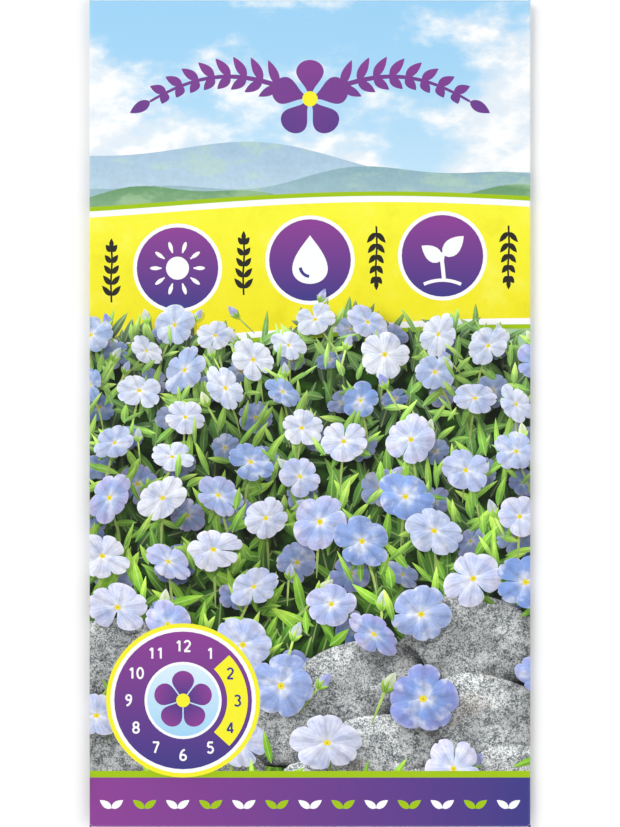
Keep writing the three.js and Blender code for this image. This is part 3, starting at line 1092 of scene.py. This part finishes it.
def inner_sheet(points, loop):
    """The plain inner side: its points, its triangles facing inward, and its rim's numbers along the loop."""
    found, triangles, covers, sources = triangulate(
        [[tuple(points[i]) for i in loop]], fold_lines(), grid_points(GRID_INSIDE, GRID_INSIDE)
    )
    rim = {source: tuple(found[number]) for number, group in enumerate(sources) for source in group}
    triangles = np.array([t for t, cover in zip(triangles, covers) if 0 in cover])
    inner_points, triangles = without_strays(found, triangles)
    numbers = {tuple(point): number for number, point in enumerate(inner_points)}
    return inner_points, triangles[:, ::-1], [numbers[rim[k]] for k in range(len(loop))]


def cut_edge(vertices, loop, inner_loop):
    """The quads that join the two rims, and the way that each faces."""
    walls = np.array([inner_loop, inner_loop[1:] + inner_loop[:1], loop[1:] + loop[:1], loop]).T
    low, low_end, _, high = (vertices[column] for column in walls.T)
    return walls, unit(np.cross(low_end - low, high - low))


def paper_sheet(art):
    """The envelope: printed outside, plain inside and a cut edge between, as one closed sheet.

    Gives vertices, faces, one normal and the materials' values for each corner, and the kind of each face.
    """
    points, triangles, tops, shadows = visible_mesh(art)
    loop = boundary_loop(triangles)
    inner_points, inner_triangles, inner_loop = inner_sheet(points, loop)
    outer_normals = paper_normals(*points.T)
    inner_normals = -paper_normals(*inner_points.T)
    vertices = np.concatenate([
        paper_middle(*points.T) + outer_normals * PAPER / 2,
        paper_middle(*inner_points.T) + inner_normals * PAPER / 2,
    ])
    count = len(points)
    walls, wall_ways = cut_edge(vertices, loop, [number + count for number in inner_loop])

    corners = triangles.ravel()
    plain_corners = np.concatenate([inner_triangles.ravel() + count, walls.ravel()])
    normals = np.concatenate([
        outer_normals[corners], inner_normals[inner_triangles.ravel()], wall_ways.repeat(4, axis=0),
    ])
    values = corner_values(points[corners], tops.repeat(3), shadows.repeat(3), art)
    for name, found in values.items():
        values[name] = np.concatenate([found, np.ones((len(plain_corners), 3))])
    centres = points[triangles].mean(axis=1).repeat(3, axis=0)
    plain_points = np.concatenate([points, inner_points])[plain_corners]
    places = np.concatenate([
        bake_places(*points[corners].T, *centres.T), bake_place(*plain_points.T, "inside"),
    ])
    faces = triangles.tolist() + (inner_triangles + count).tolist() + walls.tolist()
    kinds = [art.shapes[top].kind for top in tops] + ["core"] * (len(inner_triangles) + len(walls))
    return vertices, faces, normals, values, places, kinds


def new_piece(name, vertices, faces, materials, indices=None, normals=None):
    """An object from vertices in millimetres."""
    mesh = bpy.data.meshes.new(name)
    mesh.from_pydata((np.asarray(vertices) * MM).tolist(), [], faces)
    for material in materials:
        mesh.materials.append(material)
    if indices is not None:
        mesh.polygons.foreach_set("material_index", indices)
    mesh.polygons.foreach_set("use_smooth", [True] * len(mesh.polygons))
    if normals is not None:
        mesh.normals_split_custom_set(normals.tolist())
    mesh.update()
    piece = bpy.data.objects.new(name, mesh)
    bpy.context.scene.collection.objects.link(piece)
    return piece


def make_envelope():
    vertices, faces, normals, values, places, kinds = paper_sheet(paint_everything())
    makers = {
        "sky": sky_material, "hill": hill_material, "ground": ground_material, "leaf": leaf_material,
        "petal": petal_material, "eye": eye_material, "stone": stone_material, "ink": ink_material,
        "glaze": glaze_material, "paper": bare_paper_material, "core": core_material,
    }
    numbers = {kind: number for number, kind in enumerate(makers)}
    piece = new_piece(
        "envelope_paper", vertices, faces, [make() for make in makers.values()], [numbers[k] for k in kinds],
        normals,
    )
    for name, found in values.items():
        attribute = piece.data.attributes.new(name, "FLOAT_VECTOR", "CORNER")
        attribute.data.foreach_set("vector", found.ravel())
    layer = piece.data.uv_layers.new(name="OFBake")
    layer.uv.foreach_set("vector", places.ravel())
    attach(piece, "root")
    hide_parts("envelope")


# The sachet and the seed inside it

def pocket_distance(x, y):
    """How far the place lies from the pocket's middle, as shares of its half sizes."""
    return x / (SACHET_HALF[0] - SEAL), (y - SACHET_CENTRE_Y) / (SACHET_HALF[1] - SEAL)


def seal_ribs(x, y):
    """The ribs that the sealing jaws press: across the end seals, and along the side seals."""
    u, v = (np.abs(share) for share in pocket_distance(x, y))
    ends = smooth((v - 1.02) / 0.03)
    sides = smooth((u - 1.05) / 0.04) * (1 - ends)
    wave = ends * np.cos(2 * math.pi * x / RIB_PITCH) + sides * np.cos(2 * math.pi * y / RIB_PITCH)
    return RIB_HEIGHT * (ends + sides + wave) / 2


def pillow(x, y):
    """The upper web's rise over the pocket, with wrinkles that run in from its edges."""
    u, v = pocket_distance(x, y)
    rise = SACHET_CROWN * (np.clip(1 - u * u, 0, 1) * np.clip(1 - v * v, 0, 1)) ** 0.75
    near_sides = smooth((np.abs(u) - 0.35) / 0.4) * smooth((1 - np.abs(u)) / 0.2)
    near_ends = smooth((np.abs(v) - 0.5) / 0.3) * smooth((1 - np.abs(v)) / 0.15)
    folds = near_sides * (1 + np.sin(1.9 * y + 1.3 * np.sin(0.37 * y) + np.sign(x)))
    folds += near_ends * (1 + np.sin(2.3 * x + np.sin(0.5 * x + v)))
    return rise * (1 - 0.13 * folds)


def make_web(name, low_surface, high_surface):
    """A thin web between two surfaces, with a zigzag cut along its ends."""
    columns, rows = 121, 131
    shares_x, shares_y = np.meshgrid(np.linspace(-1, 1, columns), np.linspace(-1, 1, rows))
    x = shares_x * SACHET_HALF[0]
    zigzag = np.abs((x / ZIGZAG_PITCH) % 1 - 0.5)
    y = SACHET_CENTRE_Y + shares_y * (SACHET_HALF[1] - zigzag * np.abs(shares_y) ** 8)
    heights = (low_surface(x, y), high_surface(x, y))
    layers = [np.stack([x, y, height], axis=-1).reshape(-1, 3) for height in heights]
    count = columns * rows
    numbers = np.arange(count).reshape(rows, columns)
    corners = (numbers[:-1, :-1], numbers[:-1, 1:], numbers[1:, 1:], numbers[1:, :-1])
    upward = np.stack([corner.ravel() for corner in corners], axis=1)
    faces = np.concatenate([upward[:, ::-1], upward + count]).tolist()
    rim = [*numbers[0, :-1], *numbers[:-1, -1], *numbers[-1, :0:-1], *numbers[:0:-1, 0]]
    for start, end in zip(rim, rim[1:] + rim[:1]):
        faces.append([int(start), int(end), int(end) + count, int(start) + count])
    piece = new_piece(name + "_film", np.concatenate(layers), faces, [glassine_material()])
    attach(piece, "root")
    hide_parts(name)


def make_sachet():
    floor = PAPER + WEB
    make_web(
        "sachet_lower_web", lambda x, y: np.full_like(x, PAPER), lambda x, y: floor + seal_ribs(x, y)
    )
    make_web(
        "sachet_upper_web",
        lambda x, y: floor + seal_ribs(x, y) + pillow(x, y),
        lambda x, y: floor + seal_ribs(x, y) + pillow(x, y) + WEB - RIB_HEIGHT,     # no higher than the solid
    )


def seed_centres(draw, spacing=0.32, tries=18000):
    """Places in the heap at least a spacing apart, kept in cells of that size so that few are compared."""
    cells = {}
    centres = []
    for _ in range(tries):
        radius, turn = math.sqrt(draw.random()), draw.uniform(0, 2 * math.pi)
        depth = HEAP_HEIGHT * (1 - radius ** 2) * draw.random() ** 0.7
        place = Vector((
            HEAP_HALF[0] * radius * math.cos(turn) * 0.94,
            HEAP_CENTRE_Y + HEAP_HALF[1] * radius * math.sin(turn) * 0.95,
            PAPER + WEB + SEED_HALF[2] + depth,
        ))
        cell = tuple(int(v // spacing) for v in place)
        around = [
            other
            for dx in (-1, 0, 1) for dy in (-1, 0, 1) for dz in (-1, 0, 1)
            for other in cells.get((cell[0] + dx, cell[1] + dy, cell[2] + dz), ())
        ]
        if all((place - other).length > spacing for other in around):
            cells.setdefault(cell, []).append(place)
            centres.append(place)
    return centres


def seed_shape():
    """A plump oval seed with a slightly pointed end and shallow pits."""
    form = bmesh.new()
    bmesh.ops.create_icosphere(form, subdivisions=2, radius=1)
    points = []
    for number, vertex in enumerate(form.verts):
        x, y, z = vertex.co
        pit = 0.94 if number % 3 == 0 else 1
        narrow = 1 - 0.25 * max(0, x) ** 2
        shares = np.array([x, y * narrow, z * narrow])
        points.append(shares * SEED_HALF * pit)
    faces = [[vertex.index for vertex in face.verts] for face in form.faces]
    form.free()
    return np.array(points), np.array(faces)


def make_seeds():
    draw = random.Random(3)
    shape, shape_faces = seed_shape()
    points, faces = [], []
    for number, centre in enumerate(seed_centres(draw)):
        tilt = Euler((draw.gauss(0, 0.3), draw.gauss(0, 0.2), draw.uniform(0, 2 * math.pi))).to_matrix()
        size = draw.uniform(0.85, 1.05)
        points.append(shape @ np.array(tilt).T * size + np.array(centre))
        faces.append(shape_faces + number * len(shape))
    piece = new_piece("seed_heap", np.concatenate(points), np.concatenate(faces).tolist(), [seed_material()])
    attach(piece, "root")
    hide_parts("seeds")


# Materials

def arithmetic(operation):
    """A Term's method that joins it to another value by a math node."""
    return lambda self, other: self.tree.math(operation, self, other)


class Term:
    """A shader value that ordinary arithmetic can be written with."""

    def __init__(self, tree, socket):
        self.tree = tree
        self.socket = socket

    __add__ = __radd__ = arithmetic("ADD")
    __mul__ = __rmul__ = arithmetic("MULTIPLY")
    __sub__ = arithmetic("SUBTRACT")
    __truediv__ = arithmetic("DIVIDE")
    __pow__ = arithmetic("POWER")

    def size(self):
        return self.tree.math("ABSOLUTE", self, 0)

    def sine(self):
        return self.tree.math("SINE", self, 0)

    def within(self, low, high):
        return self.tree.math("MINIMUM", self.tree.math("MAXIMUM", self, low), high)

    def rise(self, start, end):
        """0 before start and 1 past end, smooth between; start may be the larger."""
        return self.tree.rise(self, start, end)


class Tree:
    """Short calls that build one material's nodes."""

    def __init__(self, name, roughness, specular=0.5):
        self.material = bpy.data.materials.new(name)
        self.material.use_nodes = True
        self.nodes = self.material.node_tree.nodes
        self.links = self.material.node_tree.links
        self.shader = self.nodes["Principled BSDF"]
        self.shader.inputs["Roughness"].default_value = roughness
        self.shader.inputs["Specular IOR Level"].default_value = specular
        coordinates = self.node("ShaderNodeTexCoord", "Object")
        self.where = self.scaled(coordinates, 1 / MM)     # the object's own coordinates, in millimetres

    def put(self, socket, value):
        if isinstance(value, Term):
            self.links.new(value.socket, socket)
        elif isinstance(value, (tuple, list)) and len(socket.default_value) == 4:
            socket.default_value = (*value[:3], 1)
        else:
            socket.default_value = value

    def node(self, kind, output, inputs=(), **settings):
        node = self.nodes.new(kind)
        for name, value in settings.items():
            setattr(node, name, value)
        for name, value in dict(inputs).items():
            self.put(node.inputs[name], value)
        return Term(self, node.outputs[output])

    def math(self, operation, a, b):
        return self.node("ShaderNodeMath", 0, {0: a, 1: b}, operation=operation)

    def rise(self, value, start, end):
        flip = start > end
        low, high = (end, start) if flip else (start, end)
        span = {"From Min": low, "From Max": high, "To Min": int(flip), "To Max": int(not flip)}
        return self.node("ShaderNodeMapRange", 0, {"Value": value, **span}, interpolation_type="SMOOTHSTEP")

    def mix(self, share, a, b, blend="MIX"):
        node = self.nodes.new("ShaderNodeMix")
        node.data_type = "RGBA"
        node.blend_type = blend
        for number, value in ((0, share), (6, a), (7, b)):
            self.put(node.inputs[number], value)
        return Term(self, node.outputs[2])

    def scaled(self, colour, share):
        node = self.nodes.new("ShaderNodeVectorMath")
        node.operation = "SCALE"
        self.put(node.inputs[0], colour)
        self.put(node.inputs[3], share)
        return Term(self, node.outputs[0])

    def attribute(self, name):
        return self.node("ShaderNodeAttribute", "Vector", attribute_name=name)

    def parts(self, vector):
        node = self.nodes.new("ShaderNodeSeparateXYZ")
        self.put(node.inputs[0], vector)
        return [Term(self, output) for output in node.outputs]

    def mapped(self, vector, **inputs):
        return self.node("ShaderNodeMapping", 0, {"Vector": vector, **inputs})

    def noise(self, scale, detail=2, where=None, **inputs):
        inputs.update(Vector=where or self.where, Scale=scale, Detail=detail)
        return self.node("ShaderNodeTexNoise", 0, inputs)

    def bump(self, height, strength, distance):
        return self.node(
            "ShaderNodeBump", 0, {"Height": height, "Strength": strength, "Distance": distance * MM}
        )

    def finish(self, colour, normal=None):
        self.put(self.shader.inputs["Base Color"], colour)
        if normal is not None:
            self.put(self.shader.inputs["Normal"], normal)
        return self.material


def printed(tree, colour):
    """Coated paper's finish: white rubbed through along the folds, and the varnish's orange peel."""
    x, y, _ = tree.parts(tree.where)
    edge = tree.math("MAXIMUM", x.size() - HALF_WIDTH, y.size() - HALF_HEIGHT)
    share = edge.rise(-0.12, 0.0) * tree.noise(0.9, 4).rise(0.42, 0.7) * 0.18
    return tree.finish(tree.mix(share, colour, WHITE), tree.bump(tree.noise(1.6, 3), 0.25, 0.02))


def dapple(tree, depth):
    """Uneven sunlight over the flower bed, about 1 on average."""
    return 1 + (tree.noise(0.085) - 0.5) * depth


def motif_values(tree):
    """u, v and a draw of the motif; the light along and across it and what shadows leave; its colours."""
    u, v, draw = tree.parts(tree.attribute("place"))
    light_u, light_v, shade = tree.parts(tree.attribute("sun"))
    return u, v, draw, light_u, light_v, shade, tree.attribute("tint"), tree.attribute("tip")


def print_tree(kind):
    """The start of a printed kind's material: a varnish with little gloss."""
    return Tree("print_" + kind, 0.4, 0.3)


def sky_material():
    tree = print_tree("sky")
    x, y, _ = tree.parts(tree.where)
    low = y.rise(HALF_HEIGHT, BED_TOP)
    blue = tree.mix(low, srgb("9FD3F5"), srgb("D9F0FC"))
    stretched = tree.mapped(tree.where, Scale=(0.62, 1.0, 1.0))
    lifted = tree.mapped(stretched, Location=(1.2, -2.2, 0))
    puffs, above = (tree.noise(0.062, 6, place, Roughness=0.56) for place in (stretched, lifted))
    bias = low * 0.1 + x.size() * 0.0011
    cover = (puffs + bias).rise(0.5, 0.64)
    shade = (puffs - above).rise(-0.045, 0.05)
    cloud = tree.mix(shade, srgb("E3EEF7"), srgb("FDFEFE"))
    return printed(tree, tree.mix(cover, blue, cloud))


def hill_material():
    tree = print_tree("hill")
    u, _, _, _, _, _, tint, tip = motif_values(tree)
    colour = tree.mix(u.within(0, 1), tint, tip)
    slopes = tree.noise(0.32, 4, tree.mapped(tree.where, Scale=(0.4, 1.0, 1.0)), Roughness=0.6)
    trees = tree.noise(1.1, 5, Roughness=0.7)
    colour = tree.mix(slopes.rise(0.5, 0.64) * 0.35, colour, srgb("BDD8AE"))
    return printed(tree, tree.scaled(colour, slopes * 0.3 + trees * 0.34 + 0.68))


def ground_material():
    tree = print_tree("ground")
    _, _, _, _, _, shade, tint, tip = motif_values(tree)
    spots = tree.noise(0.32, 3).rise(0.42, 0.7)
    fine = tree.noise(1.4, 4)
    colour = tree.mix(spots, tint, tip)
    return printed(tree, tree.scaled(colour, (fine + 0.4) * shade))


def leaf_material():
    tree = print_tree("leaf")
    u, v, draw, light_u, light_v, shade, tint, tip = motif_values(tree)
    colour = tree.mix(u.rise(0.0, 0.9), tint, tip)
    rib = v.size().rise(0.22, 0.02)
    half = v.rise(-0.12, 0.12) * 2 - 1
    veins = ((u * 26 - v.size() * 5).sine() * 0.5 + 0.5) * v.size().rise(0.1, 0.4)
    lit = 1 + half * light_v * 0.2 + (u - 0.5) * light_u * 0.22 - veins * 0.07 + (draw - 0.5) * 0.16
    lit = lit + (tree.noise(0.9, 3) - 0.5) * 0.5
    colour = tree.mix(rib * 0.35, colour, srgb("DDEB9A"))
    return printed(tree, tree.scaled(colour, lit * shade * dapple(tree, 2.4)))


def petal_material():
    tree = print_tree("petal")
    u, v, draw, light_u, light_v, shade, tint, tip = motif_values(tree)
    colour = tree.mix(u.rise(0.25, 1.0), tint, tip)
    colour = tree.mix(u.rise(0.42, 0.04) * 0.75, colour, srgb("F8F9FE"))
    fan = v / (u * 0.9 + 0.2)
    veins = (fan * 8 + draw * 3).sine().size() ** 10 * u.rise(0.12, 0.35) * u.rise(0.95, 0.7)
    colour = tree.mix(veins * 0.22, colour, srgb("6C7FCF"))
    blotch = tree.noise(0.4, 3)
    colour = tree.mix(blotch.rise(0.5, 0.72) * 0.5, colour, srgb("F8F9FE"))
    colour = tree.mix(blotch.rise(0.5, 0.28) * 0.35, colour, srgb("7397DD"))
    crumple = tree.noise(1.0, 3) - 0.5
    groove = v.size().rise(0.24, 0.0)
    cheeks = v.size().rise(0.05, 0.5) * v.size().rise(1.05, 0.6)
    lit = 0.96 + v * light_v * 0.24 + (u - 0.45) * light_u * 0.36 - groove * 0.13 + cheeks * 0.08
    lit = lit + crumple * 0.5
    edge = tree.math("MAXIMUM", v.size(), u).rise(0.86, 1.02)
    colour = tree.mix(edge * 0.25, colour, srgb("FFFFFF"))
    return printed(tree, tree.scaled(colour, lit * shade * dapple(tree, 0.7)))


def eye_material():
    tree = print_tree("eye")
    u, v, _, _, _, shade, tint, tip = motif_values(tree)
    out = ((u * 2 - 1) ** 2 + v ** 2) ** 0.5
    colour = tree.mix(out.rise(0.5, 0.0), tint, tip)
    colour = tree.mix(out.rise(0.75, 1.0) * 0.5, colour, srgb("C98F1E"))
    return printed(tree, tree.scaled(colour, shade))


def glaze_material():
    """The ribbon's yellow, through which the print below faintly shows."""
    tree = print_tree("glaze")
    u, _, _, _, _, shade, tint, tip = motif_values(tree)
    below = tree.noise(0.16, 5, Roughness=0.6)
    colour = tree.mix(u.within(0, 1), tint, tip)
    colour = tree.mix(below.rise(0.5, 0.78) * 0.3, colour, srgb("CFC419"))
    colour = tree.mix(below.rise(0.5, 0.25) * 0.35, colour, srgb("FFFF7A"))
    return printed(tree, tree.scaled(colour, shade))


def stone_material():
    """Granite: the light on a rounded cobble, with black and white grains."""
    tree = print_tree("stone")
    u, v, draw, light_u, light_v, shade, tint, tip = motif_values(tree)
    across = u * 2 - 1
    hollow = tree.noise(0.17, 4) - 0.5
    out = (across ** 2 + v ** 2).within(0, 1)
    facing = across * light_u + v * light_v
    lit = 0.86 + facing * out ** 0.8 * 0.72 - out ** 4 * 0.4 + hollow * 1.5
    cluster = (tree.noise(0.55, 4, Roughness=0.65) - 0.5) * 0.4
    grain = tree.noise(2.2, 3, Roughness=0.75) - cluster * 0.6
    colour = tree.mix(grain.rise(0.44, 0.56), tint, tip)
    rust = tree.noise(0.13, 4, tree.scaled(tree.where, 0.9))
    colour = tree.mix(rust.rise(0.58, 0.8) * 0.3, colour, srgb("A98660"))
    dark = (tree.noise(2.9, 2, Roughness=0.8) + cluster).rise(0.56, 0.62)
    elsewhere = tree.scaled(tree.where, 1.27)
    pale = (tree.noise(2.9, 2, elsewhere, Roughness=0.8) - cluster).rise(0.57, 0.63)
    colour = tree.mix(dark * 0.85, colour, srgb("29312F"))
    colour = tree.mix(pale * 0.85, colour, srgb("FAFBFA"))
    return printed(tree, tree.scaled(colour, lit * shade * (0.9 + draw * 0.2)))


def ink_material():
    tree = print_tree("ink")
    u, _, _, _, _, shade, tint, tip = motif_values(tree)
    mottle = tree.noise(0.7) * 0.03 + 0.985
    return printed(tree, tree.scaled(tree.mix(u.within(0, 1), tint, tip), shade * mottle))


def bare_paper_material():
    tree = Tree("bare_coated_paper", 0.42)
    fibres = tree.noise(3.0, 4)
    colour = tree.mix(fibres, srgb("F3F4F0"), srgb("FBFBF9"))
    return printed(tree, colour)


def core_material():
    """The uncoated inside of the sheet and its cut edges."""
    tree = Tree("paper_core", 0.85, 0.3)
    fibres = tree.noise(4.0, 5)
    colour = tree.mix(fibres, srgb("EDEBE4"), srgb("FAF9F5"))
    return tree.finish(colour, tree.bump(fibres, 0.4, 0.02))


def glassine_material():
    tree = Tree("glassine", 0.4)
    cloud = tree.noise(0.5, 5)
    return tree.finish(tree.mix(cloud, srgb("E9E4D2"), srgb("F6F2E4")), tree.bump(cloud, 0.3, 0.03))


def seed_material():
    tree = Tree("seed_coat", 0.55)
    tone = tree.noise(1.8, 3)
    net = tree.node("ShaderNodeTexVoronoi", 0, {"Vector": tree.where, "Scale": 14.0})
    colour = tree.mix(tone.rise(0.35, 0.65), srgb("4A2C17"), srgb("9A6A3C"))
    return tree.finish(colour, tree.bump(net, 0.5, 0.01))


# The room

FLOOR_HALF = 2500
FLOOR_TOP = -0.02
LENS = 120
SENSOR = 36
LAMPS = (
    # name, place in metres, size in metres, power in watts
    ("key", (-0.55, 0.5, 0.75), 0.6, 5.5),
    ("fill", (0.65, -0.1, 0.6), 0.7, 2.4),
    ("front", (0.0, -0.7, 0.55), 0.6, 2.0),
)


def floor_material():
    tree = Tree("pale_floor", 0.8, 0.2)
    return tree.finish(tree.mix(tree.noise(0.02), srgb("F9F9F9", 0.97), srgb("FFFFFF", 0.97)))


def make_floor():
    points = [(x, y, FLOOR_TOP) for x, y in square(0, 0, FLOOR_HALF)]
    floor = new_piece("floor", points, [(0, 1, 2, 3)], [floor_material()])


def add_light(name, place, size, power):
    """A soft square lamp that faces the packet."""
    data = bpy.data.lights.new(name, "AREA")
    data.size = size
    data.energy = power
    lamp = bpy.data.objects.new(name, data)
    lamp.location = place
    lamp.rotation_euler = (-Vector(place)).to_track_quat("-Z", "Y").to_euler()
    bpy.context.scene.collection.objects.link(lamp)


def make_light():
    """Bright walls under a dim ceiling, so that the varnish shows no glare from above, and three lamps."""
    world = bpy.data.worlds.new("studio")
    bpy.context.scene.world = world
    world.use_nodes = True
    nodes, links = world.node_tree.nodes, world.node_tree.links
    way = nodes.new("ShaderNodeTexCoord")
    height = nodes.new("ShaderNodeSeparateXYZ")
    wall = nodes.new("ShaderNodeMapRange")
    links.new(way.outputs["Generated"], height.inputs[0])
    links.new(height.outputs["Z"], wall.inputs["Value"])
    wall.interpolation_type = "SMOOTHSTEP"
    for name, value in (("From Min", 0.55), ("From Max", 0.95), ("To Min", 0.8), ("To Max", 0.08)):
        wall.inputs[name].default_value = value
    links.new(wall.outputs[0], nodes["Background"].inputs["Strength"])
    nodes["Background"].inputs["Color"].default_value = (1, 1, 1, 1)
    for lamp in LAMPS:
        add_light(*lamp)


def make_camera():
    """Straight above, with the packet's height filling the frame as in the photograph."""
    data = bpy.data.cameras.new("camera")
    data.lens = LENS
    data.sensor_width = SENSOR
    top = (RIM_HEIGHT + RIM_OPENING) * MM
    distance = HALF_HEIGHT * MM / (SENSOR / 2 / LENS)
    camera = bpy.data.objects.new("camera", data)
    camera.location = (0, 0, top + distance)
    bpy.context.scene.collection.objects.link(camera)
    bpy.context.scene.camera = camera


make_camera()
make_light()
make_floor()
make_envelope()
make_sachet()
make_seeds()
bpy.context.scene.view_settings.view_transform = "Standard"
